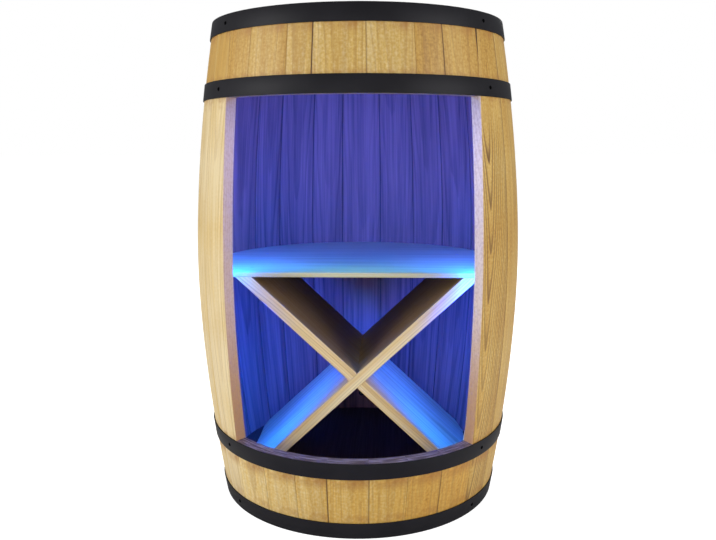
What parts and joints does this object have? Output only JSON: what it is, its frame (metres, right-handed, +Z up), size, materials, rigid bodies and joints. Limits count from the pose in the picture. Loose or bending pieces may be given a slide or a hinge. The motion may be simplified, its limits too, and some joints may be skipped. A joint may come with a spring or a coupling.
{
  "type": "barrel bar cabinet",
  "caption": "Hooped wooden barrel with a tall front opening, a shelf for standing bottles, a crossed divider for lying bottles below it, and a blue light strip inside the opening.",
  "frame": {"origin": "on the floor, on the barrel's axis, at the centre of the ring of lower stave ends", "axes": "+Z up along the barrel's axis; the opening faces -Y; +X is to the right of a person who looks into the opening"},
  "size_m": [0.557, 0.5402, 0.8],
  "materials": {
    "stave_wood": "oiled softwood, honey brown, flamed darker at the joints",
    "head_wood": "oiled softwood boards",
    "board_wood": "planed pine boards, oiled",
    "dowel_wood": "beech dowel, raw",
    "hoop_black": "satin black paint on steel strip",
    "screw_black": "black coated steel",
    "rivet_black": "painted with the hoops",
    "screw_steel": "zinc plated",
    "strip_white": "white flexible light strip",
    "led_glow": "light caps, lit blue",
    "controller_case": "white plastic box",
    "grommet_rubber": "black rubber"
  },
  "bodies": {
    "root": {"bottom_head_board_1": "head_wood", "bottom_head_board_2": "head_wood", "bottom_head_board_3": "head_wood", "bottom_head_board_4": "head_wood", "bottom_hoop": "hoop_black", "cable_grommet": "grommet_rubber", "divider_falling_board": "board_wood", "divider_rising_board": "board_wood", "head_dowels": "dowel_wood", "hoop_rivets": "rivet_black", "hoop_screws": "screw_black", "led_controller": "controller_case", "led_lights": "led_glow", "led_strip": "strip_white", "lower_hoop": "hoop_black", "lower_short_stave_1": "stave_wood", "lower_short_stave_2": "stave_wood", "lower_short_stave_3": "stave_wood", "lower_short_stave_4": "stave_wood", "lower_short_stave_5": "stave_wood", "lower_short_stave_6": "stave_wood", "lower_short_stave_7": "stave_wood", "shelf": "board_wood", "shelf_screws": "screw_steel", "stave_1": "stave_wood", "stave_10": "stave_wood", "stave_11": "stave_wood", "stave_12": "stave_wood", "stave_13": "stave_wood", "stave_14": "stave_wood", "stave_15": "stave_wood", "stave_16": "stave_wood", "stave_17": "stave_wood", "stave_2": "stave_wood", "stave_3": "stave_wood", "stave_4": "stave_wood", "stave_5": "stave_wood", "stave_6": "stave_wood", "stave_7": "stave_wood", "stave_8": "stave_wood", "stave_9": "stave_wood", "top_head_board_1": "head_wood", "top_head_board_2": "head_wood", "top_head_board_3": "head_wood", "top_head_board_4": "head_wood", "top_hoop": "hoop_black", "upper_hoop": "hoop_black", "upper_short_stave_1": "stave_wood", "upper_short_stave_2": "stave_wood", "upper_short_stave_3": "stave_wood", "upper_short_stave_4": "stave_wood", "upper_short_stave_5": "stave_wood", "upper_short_stave_6": "stave_wood", "upper_short_stave_7": "stave_wood"}
  },
  "joints": []
}
